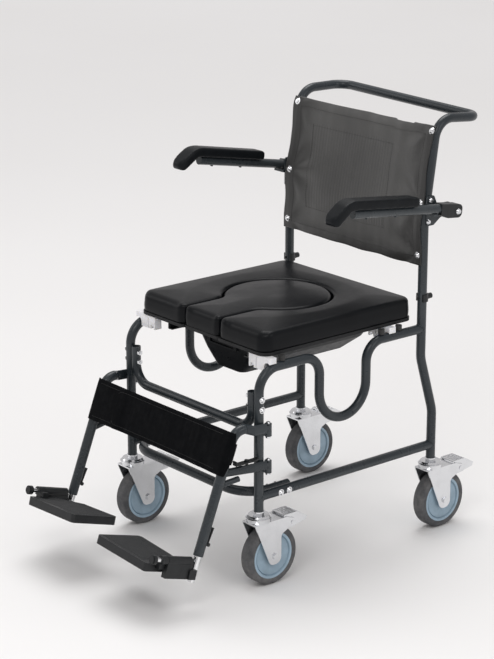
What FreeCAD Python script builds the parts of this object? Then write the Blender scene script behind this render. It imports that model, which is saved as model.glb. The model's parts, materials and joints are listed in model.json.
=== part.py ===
"""Wheeled commode chair: a parametric assembly of separate pieces.

Millimetres, +Z up, front of the chair towards -Y, the sitter's left side is +X.
Lengths along Y in the sizes sheet are counted from the axis of the front legs.
"""
import FreeCAD, Part
import math
import os
from FreeCAD import Matrix, Placement, Rotation, Vector

X = Vector(1, 0, 0)
Y = Vector(0, 1, 0)
Z = Vector(0, 0, 1)

doc = FreeCAD.newDocument("commode_chair")

# ---------------------------------------------------------------- driving sizes
SIZES = dict(
    front_leg_y=-164.6, leg_spacing=430, wheelbase=488.5, tube_od=20, tube_bore=16,
    leg_bottom_z=165, rail_z=465, lower_rail_z=195, rear_post_y=451, post_joint_z=491.5,
    dip_front_y=162, dip_rear_y=292, dip_z=318, front_bend=48, dip_top_bend=42,
    cross_z=337, cross_end_z=417, cross_bend=41, side_gap=0.1,
    base_cross_y=-17, base_cross_end_y=95, base_cross_bend=65,
    bolt_shank=6, bolt_hole=6.2, washer_od=14, bolt_head_od=11,
    lean_start_z=705, lean_deg=8.5, handle_low_z=915, left_handle_z=903,
    right_handle_z=913, handle_y=607,
    handle_bend=45, handle_corner=34, sleeve_od=15.9, sleeve_top_z=556, lock_z=534,
    sling_thick=2, sling_gap=0.3, sling_half=221, sling_low_z=606, sling_high_z=900, screw_x=209,
    corner_shift=5,
    arm_x=250, arm_pivot_y=506, arm_pivot_z=721, right_arm_lift=6, left_arm_tilt=6.4, right_arm_tilt=10.1,
    arm_length=293, arm_axis_rise=6, pad_x=249, pad_width=38, pad_low=15, pad_high=36.5,
    seat_half=206, seat_front_y=21, seat_rear_y=433, seat_board_z=486, board_thick=7,
    seat_top_z=539, seat_corner=22, hole_y=232, hole_radius=117.5, neck_half=58, seam_gap=1.6,
    pan_front_y=92, pan_rear_y=420, pan_low_z=396, pan_top_z=470, pan_wall=2.5,
    wheel_radius=63.5, tyre_half=16, hub_radius=50, hub_half=18, trail=27, fork_gap_half=19,
    fork_plate=2.6, axle_d=8, stem_d=10, race_od=54,
    pivot_x=224, pivot_y=17, upper_eye_z=345, lower_eye_z=266, eye_od=15, eye_high=14,
    hanger_od=21, hanger_bore=16.1, hanger_x=217.7, hanger_tilt=21.3, hanger_end_z=110,
    hanger_top_z=352, hanger_ref_y=-86.2, hanger_ref_z=300, extension_od=16,
    left_drop=14, toe_deg=16.9, plate_roll=3, plate_thick=17.5, plate_length=167, plate_depth=112,
    strap_low_z=266, strap_high_z=350, strap_thick=2.5,
)

sheet = doc.addObject("Spreadsheet::Sheet", "sizes")
for row, (alias, value) in enumerate(SIZES.items(), start=1):
    sheet.set("A%d" % row, alias)
    sheet.set("B%d" % row, str(value))
    sheet.setAlias("B%d" % row, alias)
doc.recompute()


class Dimensions:
    """Reads one driving size from the sheet by its alias."""

    def __getattr__(self, alias):
        return float(sheet.get(alias))


d = Dimensions()
parts = {}


# ---------------------------------------------------------------- helpers
def at(x, y, z):
    """A point from chair coordinates, with y counted from the front leg axis."""
    return Vector(x, y + d.front_leg_y, z)


def bind(obj, **sizes):
    """Sets sizes: a text is an expression on the sheet, a number is fixed."""
    for name, value in sizes.items():
        if isinstance(value, str):
            obj.setExpression(name, value)
        else:
            setattr(obj, name, value)
    return obj


def cylinder(radius, height, base, axis=Z):
    obj = bind(doc.addObject("Part::Cylinder", "cylinder"), Radius=radius, Height=height)
    obj.Placement = Placement(base, Rotation(Z, axis))
    return obj


def rod(radius, start, end):
    """A cylinder between two points."""
    return cylinder(radius, (end - start).Length, start, end - start)


def box(corner, length, width, height):
    obj = bind(doc.addObject("Part::Box", "box"), Length=length, Width=width, Height=height)
    obj.Placement = Placement(corner, Rotation())
    return obj


def cone(radius_1, radius_2, height, base, axis=Z):
    obj = bind(doc.addObject("Part::Cone", "cone"), Radius1=radius_1, Radius2=radius_2, Height=height)
    obj.Placement = Placement(base, Rotation(Z, axis))
    return obj


def hexagon(across_flats, height, base, axis=Z):
    obj = doc.addObject("Part::Prism", "hexagon")
    bind(obj, Polygon=6, Circumradius=across_flats / math.sqrt(3), Height=height)
    obj.Placement = Placement(base, Rotation(Z, axis))
    return obj


def feature(shape):
    obj = doc.addObject("Part::Feature", "shape")
    obj.Shape = shape
    return obj


def cut(base, tool):
    obj = doc.addObject("Part::Cut", "cut")
    obj.Base = base
    obj.Tool = tool
    return obj


def fuse(pieces):
    obj = doc.addObject("Part::MultiFuse", "fuse")
    obj.Shapes = pieces
    return obj


def group(pieces):
    """Separate solids that share one node."""
    obj = doc.addObject("Part::Compound", "group")
    obj.Links = pieces
    return obj


def keep(node, obj):
    """Registers a finished sub-part under the name of its node."""
    obj.Label = node
    parts[node] = obj
    return obj


def arc_corner(before, corner, after, radius):
    """Start, middle and end of the arc that rounds a corner."""
    u = (before - corner).normalize()
    v = (after - corner).normalize()
    half = u.getAngle(v) / 2
    setback = radius / math.tan(half)
    towards_centre = (u + v).normalize() * (radius / math.sin(half) - radius)
    return corner + u * setback, corner + towards_centre, corner + v * setback


def route(points, radii):
    """Straight runs joined by tangent arcs, as one open wire."""
    edges = []
    start = points[0]
    for before, corner, after, radius in zip(points, points[1:], points[2:], radii):
        first, middle, last = arc_corner(before, corner, after, radius)
        if (first - start).Length > 1e-6:
            edges.append(Part.LineSegment(start, first).toShape())
        edges.append(Part.Arc(first, middle, last).toShape())
        start = last
    edges.append(Part.LineSegment(start, points[-1]).toShape())
    return Part.Wire(edges)


def outline(points, radii):
    """Lines and arcs of a closed outline whose corners are rounded."""
    count = len(points)
    corners = [arc_corner(points[i - 1], points[i], points[(i + 1) % count], radii[i])
               if radii[i] else (points[i],) * 3 for i in range(count)]
    curves = []
    for i, (first, middle, last) in enumerate(corners):
        if radii[i]:
            curves.append(Part.Arc(first, middle, last))
        following = corners[(i + 1) % count][0]
        if (following - last).Length > 1e-6:
            curves.append(Part.LineSegment(last, following))
    return curves


def pad(curves, plane, length, start=Vector(), symmetric=False):
    """A body with one sketch on its own origin plane and one pad."""
    body = doc.addObject("PartDesign::Body", "body")
    sketch = body.newObject("Sketcher::SketchObject", "sketch")
    origin_plane = [f for f in body.Origin.OriginFeatures if f.Role == plane][0]
    sketch.AttachmentSupport = (origin_plane, [""])
    sketch.MapMode = "FlatFace"
    sketch.addGeometry(curves)
    grow = body.newObject("PartDesign::Pad", "pad")
    grow.Profile = sketch
    bind(grow, Length=length)
    grow.Midplane = symmetric
    body.Placement = Placement(start, Rotation())
    return body


def sweep(path, diameter):
    """A round bar along a wire."""
    edge = path.Edges[0]
    start = edge.valueAt(edge.FirstParameter)
    heading = edge.tangentAt(edge.FirstParameter)
    section = Part.Wire(Part.makeCircle(diameter / 2, start, heading))
    return path.makePipeShell([section], True, False)


def tube(path, outer=None, bore=None):
    """A hollow bent tube."""
    return cut(feature(sweep(path, outer or d.tube_od)), feature(sweep(path, bore or d.tube_bore)))


def sides():
    """Name and sign of the two sides: the sitter's left is +X."""
    return (("left", 1), ("right", -1))


half = d.leg_spacing / 2
tube_r = d.tube_od / 2
inner_x = half - d.tube_od - d.side_gap


# ---------------------------------------------------------------- frame
CROSS_BOLT_Z = (405, 384)
BASE_BOLT_Y = (51, 73)


def bolt_places(side):
    """Centres, on the leg's plane, of the four bolts on one side."""
    upper = [at(side * half, 0, z) for z in CROSS_BOLT_Z]
    lower = [at(side * half, y, d.lower_rail_z) for y in BASE_BOLT_Y]
    return upper + lower


def bolt_holes(side):
    reach = 2 * d.tube_od + 10
    return [cylinder("sizes.bolt_hole / 2", reach, p - X * side * (reach - 15), X * side)
            for p in bolt_places(side)]


def front_tube_route(side):
    x = side * half
    points = [at(x, 0, d.leg_bottom_z), at(x, 0, d.rail_z), at(x, d.dip_front_y, d.rail_z),
              at(x, d.dip_front_y, d.dip_z), at(x, d.dip_rear_y, d.dip_z),
              at(x, d.dip_rear_y, d.rail_z), at(x, d.rear_post_y, d.rail_z)]
    dip = (d.dip_rear_y - d.dip_front_y) / 2
    return route(points, [d.front_bend, d.dip_top_bend, dip, dip, d.dip_top_bend])


def rear_leg_route(side):
    x = side * half
    points = [at(x, d.rear_post_y, d.post_joint_z), at(x, d.rear_post_y, 400),
              at(x, d.wheelbase, 275), at(x, d.wheelbase, d.leg_bottom_z)]
    return route(points, [80, 80])


def make_side_frame(name, side):
    """Front leg and top rail in one tube, rear leg and lower rail, welded together."""
    x = side * half
    rail_start = at(x, 0, d.lower_rail_z)
    rail_end = at(x, d.wheelbase, d.lower_rail_z)
    outers = [feature(sweep(front_tube_route(side), d.tube_od)),
              feature(sweep(rear_leg_route(side), d.tube_od)),
              rod("sizes.tube_od / 2", rail_start, rail_end)]
    plug = Part.makeBox(60, 40, 60, at(x - 30, d.rear_post_y - 12, d.rail_z - 30))
    front_bore = front_tube_route(side).cut(plug)
    bores = [feature(sweep(Part.Wire(Part.sortEdges(front_bore.Edges)[0]), d.tube_bore)),
             feature(sweep(rear_leg_route(side), d.tube_bore)),
             rod("sizes.tube_bore / 2", rail_start + Y * 12, rail_end - Y * 12)]
    keep("side_frame_" + name, cut(fuse(outers), fuse(bores + bolt_holes(side))))


def make_cross_tubes():
    """The two bolted cross tubes that hold the side frames apart."""
    holes = fuse(bolt_holes(1) + bolt_holes(-1))
    upper = [at(-inner_x, 0, d.cross_end_z), at(-inner_x, 0, d.cross_z),
             at(inner_x, 0, d.cross_z), at(inner_x, 0, d.cross_end_z)]
    keep("front_cross_tube", cut(tube(route(upper, [d.cross_bend] * 2)), holes))
    lower = [at(-inner_x, d.base_cross_end_y, d.lower_rail_z), at(-inner_x, d.base_cross_y, d.lower_rail_z),
             at(inner_x, d.base_cross_y, d.lower_rail_z), at(inner_x, d.base_cross_end_y, d.lower_rail_z)]
    keep("base_cross_tube", cut(tube(route(lower, [d.base_cross_bend] * 2)), holes))


def frame_bolt(place, side):
    """Domed head and washer outside, shank, washer and nut inside."""
    out = X * side
    face = place + out * (tube_r + 0.05)
    inner_face = place - out * (tube_r + d.tube_od + d.side_gap + 0.05)
    washer = cylinder("sizes.washer_od / 2", 1.5, face, out)
    head = cone("sizes.bolt_head_od / 2", 3, 3.4, face + out * 1.5, out)
    shank = rod("sizes.bolt_shank / 2", inner_face - out * 7, face + out * 2)
    nut = hexagon(10, 5, inner_face, out * -1)
    return fuse([washer, head, shank, nut])


def pivot_pin(side, eye_z):
    """Pin of a footrest eye: head above the eye, nut below the bracket."""
    centre = at(side * d.pivot_x, d.pivot_y, eye_z)
    top = centre + Z * (d.eye_high / 2 + 0.3)
    low = centre - Z * (d.eye_high / 2 + 12.5)
    head = cylinder(4.8, 2.5, top)
    dome = cone(4.8, 2.6, 1.5, top + Z * 2.5)
    shank = rod("sizes.bolt_shank / 2", low - Z * 5, top + Z)
    nut = hexagon(9, 4, low, Z * -1)
    return fuse([head, dome, shank, nut])


def make_fasteners():
    bolts = [frame_bolt(p, side) for _, side in sides() for p in bolt_places(side)]
    pins = [pivot_pin(side, z) for _, side in sides() for z in (d.upper_eye_z, d.lower_eye_z)]
    keep("frame_bolts", group(bolts + pins))


def pivot_bracket(side, eye_z):
    """Bush welded behind the leg, just below a footrest eye."""
    top = eye_z - d.eye_high / 2 - 0.35
    centre = at(side * d.pivot_x, d.pivot_y, top - 12)
    bush = cylinder("sizes.eye_od / 2", 12, centre)
    leg = at(side * half, 0, top - 10)
    web = feature(Part.makeBox(8, 19, 8, Vector(-4, 0, 0)))
    web.Placement = Placement(leg, Rotation(Y, centre + Z * 2 - leg))
    leg_space = cylinder("sizes.tube_od / 2 + 0.02", 40, leg - Z * 15)
    hole = cylinder("sizes.bolt_shank / 2 + 0.05", 20, centre - Z * 4)
    return cut(fuse([bush, web]), fuse([leg_space, hole]))


def make_pivot_brackets():
    keep("footrest_pivot_brackets",
         group([pivot_bracket(side, z) for _, side in sides() for z in (d.upper_eye_z, d.lower_eye_z)]))


def make_post_sleeves():
    """Sleeves fixed in the rear legs, on which the backrest slides; a notch clears the lock pin."""
    sleeves = []
    for _, side in sides():
        foot = at(side * half, d.rear_post_y, 442)
        outer = rod("sizes.sleeve_od / 2", foot, at(side * half, d.rear_post_y, d.sleeve_top_z))
        bore = cylinder(6.4, 130, foot - Z * 2)
        notch = box(at(side * half - 2.8, d.rear_post_y - 12, d.lock_z - 3), 5.6, 24, 40)
        sleeves.append(cut(outer, fuse([bore, notch])))
    keep("back_post_sleeves", group(sleeves))


# ---------------------------------------------------------------- casters
def caster_places():
    return [("front_left", half, 0), ("front_right", -half, 0),
            ("rear_left", half, d.wheelbase), ("rear_right", -half, d.wheelbase)]


def pedal_pivot():
    """Rivet of the brake pedal, from the point on the floor under the leg."""
    return Vector(0, 74, 127.5)


def caster_stem(x, y):
    """Fixed part of a caster: plug in the leg, collar, nut, upper race and pin."""
    leg = at(x, y, d.leg_bottom_z)
    plug = cylinder("sizes.tube_bore / 2 - 0.05", 50, leg)
    collar = cylinder(12, 2.5, leg - Z * 2.5)
    nut = hexagon(19, 5, leg - Z * 7.5)
    race = cone(25, 22, 3, leg - Z * 10.2)
    pin = rod("sizes.stem_d / 2", leg - Z * 30, leg)
    rivet = cylinder(8, 3, leg - Z * 31)
    return fuse([plug, collar, nut, race, pin, rivet])


def fork_outline():
    """Side plate of the fork in the Y-Z plane: a taper to the axle and an ear for the pedal."""
    axle_y = d.trail
    points = [Vector(-25, 138, 0), Vector(-25, 143, 0), Vector(56, 143, 0), Vector(84, 134, 0),
              Vector(84, 119, 0), Vector(62, 117, 0), Vector(axle_y + 16, 108, 0),
              Vector(axle_y + 16, 46, 0), Vector(axle_y - 13, 46, 0)]
    return outline(points, [0, 0, 8, 7, 4, 10, 10, 15, 14])


def make_caster(name, x, y):
    """Swivelling fork with its axle, braked by a pedal, and a wheel of hub and tyre."""
    foot = at(x, y, 0)
    axle = foot + Vector(0, d.trail, d.wheel_radius)
    outer_x = d.fork_gap_half + d.fork_plate
    plates = [pad(fork_outline(), "YZ_Plane", "sizes.fork_plate", foot + X * start)
              for start in (d.fork_gap_half, -outer_x)]
    crown = feature(Part.makeBox(2 * outer_x, 76, 3, foot + Vector(-outer_x, -25, 140)))
    cup = cone("sizes.race_od / 2 - 2", "sizes.race_od / 2", 9, foot + Z * 143)
    cup_top = cone("sizes.race_od / 2", "sizes.race_od / 2 - 3", 2.4, foot + Z * 152)
    pin_hole = cylinder("sizes.stem_d / 2 + 0.05", 30, foot + Z * 135)
    axle_hole = cylinder("sizes.axle_d / 2 + 0.02", 60, axle - X * 30, X)
    pivot_hole = cylinder(2.52, 60, foot + pedal_pivot() - X * 30, X)
    plate_work = cut(fuse(plates + [crown, cup, cup_top]), fuse([pin_hole, axle_hole, pivot_hole]))
    bolt_head = hexagon(13, 4, axle + X * (outer_x + 0.05), X)
    bolt_nut = hexagon(13, 5, axle - X * (outer_x + 0.05), X * -1)
    shank = cylinder("sizes.axle_d / 2", 2 * outer_x + 4, axle - X * (outer_x + 2), X)
    bolt = fuse([shank, bolt_head, bolt_nut])
    rivet = foot + pedal_pivot() - X * (outer_x + 1.5)
    pivot = fuse([cylinder(2.5, 2 * outer_x + 3, rivet, X), cylinder(4.5, 1.45, rivet, X),
                  cylinder(4.5, 1.45, rivet + X * (2 * outer_x + 1.55), X)])
    keep("caster_fork_" + name, group([plate_work, bolt, pivot]))

    hub = Part.Face(Part.Wire([c.toShape() for c in hub_section()])).revolve(Vector(), X, 360)
    keep("wheel_hub_" + name, placed(feature(hub), axle))
    tyre = Part.Face(Part.Wire([c.toShape() for c in tyre_section()])).revolve(Vector(), X, 360)
    keep("tyre_" + name, placed(feature(tyre), axle))
    make_brake_pedal(name, foot)


def placed(obj, base):
    obj.Placement = Placement(base, Rotation())
    return obj


def hub_section():
    """Half section of the wheel centre: x is along the axle, y is the radius."""
    rim = d.tyre_half - 1.5
    groove = 43
    bore = d.axle_d / 2 + 0.05
    boss = d.hub_half
    points = [(-boss, bore), (boss, bore), (boss, 12), (rim - 2, 14), (rim - 2, groove - 1.2),
              (rim - 4, groove), (rim - 2, groove + 1.2), (rim, groove + 2), (rim, d.hub_radius),
              (-rim, d.hub_radius), (-rim, groove + 2), (2 - rim, groove + 1.2), (4 - rim, groove),
              (2 - rim, groove - 1.2), (2 - rim, 14), (-boss, 12)]
    return outline([Vector(a, b, 0) for a, b in points], [0] * len(points))


def tyre_section():
    """Half section of the tyre with a crowned tread."""
    w = d.tyre_half
    points = [(1.5 - w, d.hub_radius), (w - 1.5, d.hub_radius), (w, d.hub_radius + 3),
              (w, d.wheel_radius), (-w, d.wheel_radius), (-w, d.hub_radius + 3)]
    return outline([Vector(a, b, 0) for a, b in points], [0, 0, 0, 6.5, 6.5, 0])


def make_brake_pedal(name, foot):
    """Bent pedal between the fork's ears, with ribs on its tread and a rivet as its pivot."""
    inner = d.fork_gap_half - 0.6
    tread = [Vector(52, 144.5, 0), Vector(52, 147, 0), Vector(88, 147, 0), Vector(115, 131.5, 0),
             Vector(114, 129, 0), Vector(87, 144.5, 0)]
    flange = [Vector(62, 120, 0), Vector(58, 145.5, 0), Vector(88, 145.5, 0), Vector(114, 130, 0),
              Vector(113, 123, 0), Vector(88, 119, 0)]
    reach = inner + 1
    top = pad(outline(tread, [0, 0, 14, 1, 0, 12]), "YZ_Plane", 2 * reach, foot - X * reach)
    walls = [pad(outline(flange, [4, 3, 12, 2, 3, 8]), "YZ_Plane", 2.4, foot + X * start)
             for start in (inner - 2.4, -inner)]
    ribs = []
    for y in (60, 66, 72, 78, 84):
        ribs.append(rod(1.1, foot + Vector(-inner, y, 146.9), foot + Vector(inner, y, 146.9)))
    rivet_hole = cylinder(2.55, 60, foot + pedal_pivot() - X * 30, X)
    keep("brake_pedal_" + name, cut(fuse([top] + walls + ribs), rivet_hole))


# ---------------------------------------------------------------- backrest
def post_points(side):
    """Post, backward lean and rising handle of one side, up to the cross bar."""
    lean_y = math.tan(math.radians(d.lean_deg)) * (d.handle_low_z - d.lean_start_z)
    x = side * half
    bar_z = d.left_handle_z if side > 0 else d.right_handle_z
    return [at(x, d.rear_post_y, d.post_joint_z + 0.3), at(x, d.rear_post_y, d.lean_start_z),
            at(x, d.rear_post_y + lean_y, d.handle_low_z), at(x, d.handle_y, bar_z)]


def make_back_frame():
    """One tube: both posts and the push handle."""
    points = post_points(1) + post_points(-1)[::-1]
    radii = [140, d.handle_bend, d.handle_corner]
    posts = tube(route(points, radii + radii[::-1]))
    holes = [cylinder(2.1, 14, p - n * 2, n) for side in (1, -1) for p, n in screw_places(side)]
    holes += [cylinder(2.6, 60, at(side * half, d.rear_post_y - 30, d.lock_z), Y) for side in (1, -1)]
    for side in (1, -1):
        holes += [cylinder(3.1, 60, place + X * (side * half - 30), X) for place in clamp_places(side)]
    keep("back_frame", cut(posts, fuse(holes)))


SCREW_Z = (627, 739, 889)
CLAMP_Z = (746, 701)


def front_view(offset):
    """The posts' route seen from the side, moved to the front by an offset."""
    low, bend, corner, rear = [Vector(0, p.y, p.z) for p in post_points(-1)]
    first = (bend - low).normalize()
    second = (corner - bend).normalize()
    third = (rear - corner).normalize()
    normals = [X.cross(v) for v in (first, second, third)]
    moved = [low + normals[0] * offset]
    for point, n1, n2 in ((bend, normals[0], normals[1]), (corner, normals[1], normals[2])):
        moved.append(point + (n1 + n2) * (offset / (1 + n1.dot(n2))))
    moved.append(rear + normals[2] * offset)
    return route(moved, [140 + offset, d.handle_bend + offset])


def route_at(wire, z):
    """Point and direction of a side-view route at a height."""
    level = Part.makePlane(200, 800, Vector(-100, 0, z))
    point = wire.section(level).Vertexes[0].Point
    edge = min(wire.Edges, key=lambda e: e.distToShape(Part.Vertex(point))[0])
    return point, edge.tangentAt(edge.Curve.parameter(point))


def screw_places(side):
    """Point on the front of the posts at each sling screw, with the direction into the post."""
    wire = front_view(tube_r)
    places = []
    for z in SCREW_Z:
        shift = d.corner_shift if side > 0 and z == SCREW_Z[-1] else 0
        point, along = route_at(wire, z)
        places.append((point + X * side * (d.screw_x + shift), along.cross(X)))
    return places


def make_back_sling():
    """Stretched sheet on the front of the posts, held by six screws."""
    near = front_view(tube_r + d.sling_gap)
    far = front_view(tube_r + d.sling_gap + d.sling_thick)
    ends = [Part.LineSegment(near.Vertexes[i].Point, far.Vertexes[i].Point).toShape() for i in (0, -1)]
    side_view = Part.Face(Part.Wire(Part.sortEdges(near.Edges + far.Edges + ends)[0]))
    band = side_view.extrude(X * 2 * d.sling_half)
    band.translate(X * -d.sling_half)
    window = box(at(-300, 300, d.sling_low_z), 600, 300, "sizes.sling_high_z - sizes.sling_low_z")
    holes = [cylinder(2.1, 14, p - n * 6, n) for side in (1, -1) for p, n in screw_places(side)]
    trimmed = doc.addObject("Part::Common", "trimmed")
    trimmed.Base = feature(band)
    trimmed.Tool = window
    keep("back_sling", cut(trimmed, fuse(holes)))


def make_sling_screws():
    """Cup washer, domed head and shank, six times."""
    screws = []
    for side in (1, -1):
        for place, into in screw_places(side):
            face = place - into * (d.sling_gap + d.sling_thick + 0.05)
            washer = cone(7.5, 6, 1.5, face, into * -1)
            head = cone(5, 2.6, 2.8, face - into * 1.5, into * -1)
            shank = cylinder(2, 10, face - into, into)
            screws.append(fuse([washer, head, shank]))
    keep("sling_screws", group(screws))


def make_lock_collars():
    """Moulded collars round the posts that guide the lock pins."""
    collars = []
    for _, side in sides():
        centre = at(side * half, d.rear_post_y, d.lock_z - 8)
        ring = cylinder(13, 16, centre)
        boss = cylinder(6.5, 7, centre + Z * 8 + Y * 11, Y)
        post = cylinder("sizes.tube_od / 2 + 0.02", 40, centre - Z * 10)
        pin = cylinder(2.6, 60, centre + Z * 8 - Y * 30, Y)
        window = box(centre + Vector(-14, -14, -1), 28, 7, 18)
        collars.append(cut(fuse([ring, boss]), fuse([post, pin, window])))
    keep("lock_collars", group(collars))


def make_lock_pin(name, side):
    """Pull pin through post and sleeve, with a knob behind the collar."""
    tip = at(side * half, d.rear_post_y - 14, d.lock_z)
    pin = rod(2.5, tip, tip + Y * 34)
    nose = cone(2.5, 1.6, 1.2, tip, Y * -1)
    knob = cylinder(6, 7, tip + Y * 32.4, Y)
    keep("lock_pin_" + name, fuse([pin, nose, knob]))


# ---------------------------------------------------------------- armrests
def arm_axes(side):
    """Forward and upward directions of an arm at rest."""
    tilt = math.radians(d.left_arm_tilt if side > 0 else d.right_arm_tilt)
    return Vector(0, -math.cos(tilt), math.sin(tilt)), Vector(0, math.sin(tilt), math.cos(tilt))


def arm_placement(x):
    """Local x runs forward along the arm, local y up; z is outward on one side, inward on the other."""
    forward, up = arm_axes(x)
    sideways = forward.cross(up)
    base = arm_pivot(x) + X * x
    return Placement(Matrix(forward.x, up.x, sideways.x, base.x, forward.y, up.y, sideways.y, base.y,
                            forward.z, up.z, sideways.z, base.z, 0, 0, 0, 1))


def arm_lift(side):
    """The right arm is clamped a little higher."""
    return 0 if side > 0 else d.right_arm_lift


def arm_pivot(side):
    """Point of the hinge axis on the chair's middle plane."""
    return at(0, d.arm_pivot_y, d.arm_pivot_z + arm_lift(side))


def clamp_places(side):
    """Centres, on the axis of a post, of the two bolts that clamp an armrest bracket."""
    return [route_at(front_view(0), z + arm_lift(side))[0] for z in CLAMP_Z]


def in_arm(obj, x):
    obj.Placement = arm_placement(x).multiply(obj.Placement)
    return obj


ARM_BLOCK_HALF = 11


def make_armrest(name, side):
    """Tube with two pad screws, hinge block at its rear end, and the pad."""
    rise = Vector(0, d.arm_axis_rise, 0)
    outer = cylinder("sizes.tube_od / 2", "sizes.arm_length - 24", Vector(24, 0, 0) + rise, X)
    bore = cylinder("sizes.tube_bore / 2", "sizes.arm_length - 30", Vector(20, 0, 0) + rise, X)
    screws = [cylinder(3, 2.5, Vector(u, d.arm_axis_rise - tube_r - 2, 0), Y) for u in (173, 255)]
    keep("armrest_tube_" + name, in_arm(fuse([cut(outer, bore)] + screws), side * d.arm_x))

    profile = outline([Vector(-11, -13, 0), Vector(-11, 15.5, 0), Vector(50, 17.5, 0), Vector(50, -7, 0),
                       Vector(30, -13, 0)], [11, 11, 2, 2, 8])
    block = feature(Part.Face(Part.Wire([c.toShape() for c in profile])).extrude(Z * 2 * ARM_BLOCK_HALF))
    block.Placement = Placement(Z * -ARM_BLOCK_HALF, Rotation())
    pin_hole = cylinder(4.05, 60, Vector(0, 0, -30))
    tube_socket = cylinder("sizes.tube_od / 2 + 0.01", 60, Vector(24, 0, 0) + rise, X)
    block = cut(block, fuse([pin_hole, tube_socket]))
    keep("armrest_block_" + name, in_arm(block, side * d.arm_x))

    top = d.pad_high
    low = d.pad_low
    pad_profile = outline([Vector(119, low, 0), Vector(119, top - 1, 0), Vector(316.5, top, 0),
                           Vector(361.5, -5.5, 0), Vector(346.5, -21.5, 0), Vector(307.4, low, 0)],
                          [4, 9, 46, 10.8, 10.8, 16])
    side_view = Part.Face(Part.Wire([c.toShape() for c in pad_profile])).extrude(Z * d.pad_width)
    side_view.translate(Z * -d.pad_width / 2)
    edge = d.pad_width / 2
    plan = outline([Vector(118, 0, -edge), Vector(359, 0, -edge), Vector(359, 0, edge), Vector(118, 0, edge)],
                   [7, 18, 18, 7])
    plan_view = Part.Face(Part.Wire([c.toShape() for c in plan])).extrude(Y * 90)
    plan_view.translate(Y * -40)
    pad_solid = feature(side_view.common(plan_view))
    channel = cylinder("sizes.tube_od / 2 + 0.05", "sizes.arm_length", rise, X)
    in_arm(pad_solid, side * d.pad_x)
    in_arm(channel, side * d.arm_x)
    keep("armrest_pad_" + name, cut(pad_solid, channel))


def make_armrest_brackets():
    """Plates clamped to the outside of the posts; a lug under each arm is its stop."""
    brackets = []
    for _, side in sides():
        lift = arm_lift(side)
        pivot = arm_pivot(side)
        profile = [Vector(446, 692, 0), Vector(446, 756, 0), Vector(466, 756, 0), Vector(475, 736, 0),
                   Vector(518, 736, 0), Vector(518, 708, 0), Vector(486, 706, 0), Vector(466, 692, 0)]
        plate_x = side * 226.8 - 1.5
        plate = pad(outline(profile, [5, 5, 5, 9, 12, 12, 10, 5]), "YZ_Plane", 3, at(plate_x, 0, lift))
        boss = rod(9, pivot + X * side * 227, pivot + X * side * (d.arm_x - ARM_BLOCK_HALF - 1.4))
        forward, up = arm_axes(side)
        lug_top = pivot + forward * 60 + up * (d.arm_axis_rise - tube_r - 0.5)
        lug = feature(Part.makeBox(30, 12, 5, Vector(-15, -6, -5)))
        lug.Placement = Placement(Vector(side * 241, lug_top.y, lug_top.z), Rotation(Y, forward * -1))
        holes = [cylinder(3.1, 60, p + X * (side * half - 30), X) for p in clamp_places(side)]
        holes.append(cylinder(4.05, 80, pivot + X * (side * half - 40), X))
        brackets.append(cut(fuse([plate, lug, boss]), fuse(holes)))
    keep("armrest_brackets", group(brackets))


def make_armrest_bolts():
    """Two clamp bolts through each post and one pivot bolt for each arm."""
    bolts = []
    for _, side in sides():
        out = X * side
        for place in clamp_places(side):
            face = place + out * 228.4
            inner = place + out * (half - tube_r - 0.1)
            head = cone(5.5, 3.5, 3.2, face, out)
            shank = rod(3, inner - out * 4, face + out)
            nut = hexagon(9, 3.5, inner, out * -1)
            bolts.append(fuse([head, shank, nut]))
        pivot = arm_pivot(side)
        face = pivot + out * (d.arm_x + ARM_BLOCK_HALF + 0.4)
        inner = pivot + out * 225.2
        head = cone(6.5, 4.5, 3, face, out)
        shank = rod(4, inner - out * 3, face + out)
        nut = hexagon(12, 3, inner, out * -1)
        bolts.append(fuse([head, shank, nut]))
    keep("armrest_bolts", group(bolts))


# ---------------------------------------------------------------- seat
def keyhole(gap):
    """Corners of the seat opening's neck and the angle at which it meets the round part."""
    radius = d.hole_radius - gap
    neck = d.neck_half - gap
    return radius, neck, math.asin(neck / radius)


def seat_outline(margin):
    """Rounded square with a keyhole that opens to the front."""
    w = d.seat_half + margin
    front = d.seat_front_y - margin
    rear = d.seat_rear_y + margin
    corner = d.seat_corner
    radius, neck, angle = keyhole(0)
    mouth_y = d.hole_y - radius * math.cos(angle)
    mouth = Vector(neck, mouth_y, 0)
    edges = route([mouth, Vector(neck, front, 0), Vector(w, front, 0), Vector(w, rear, 0),
                   Vector(-w, rear, 0), Vector(-w, front, 0), Vector(-neck, front, 0),
                   Vector(-neck, mouth_y, 0)], [8, corner, corner, corner, corner, 8]).Edges
    curves = [curve_of(edge) for edge in edges]
    return curves + [Part.Arc(Vector(-neck, mouth_y, 0), Vector(0, d.hole_y + radius, 0), mouth)]


def curve_of(edge):
    """The line or arc under a wire's edge, ready for a sketch."""
    first = edge.valueAt(edge.FirstParameter)
    last = edge.valueAt(edge.LastParameter)
    if edge.Curve.TypeId == "Part::GeomLine":
        return Part.LineSegment(first, last)
    middle = edge.valueAt((edge.FirstParameter + edge.LastParameter) / 2)
    return Part.Arc(first, middle, last)


def infill_outline():
    """The piece that closes the keyhole, a seam's width smaller."""
    radius, neck, angle = keyhole(d.seam_gap)
    mouth_y = d.hole_y - radius * math.cos(angle)
    front = d.seat_front_y + 2
    left = Vector(-neck, mouth_y, 0)
    right = Vector(neck, mouth_y, 0)
    edges = route([right, Vector(neck, front, 0), Vector(-neck, front, 0), left], [6, 6]).Edges
    curves = [curve_of(edge) for edge in edges]
    return curves + [Part.Arc(left, Vector(0, d.hole_y + radius, 0), right)]


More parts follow.
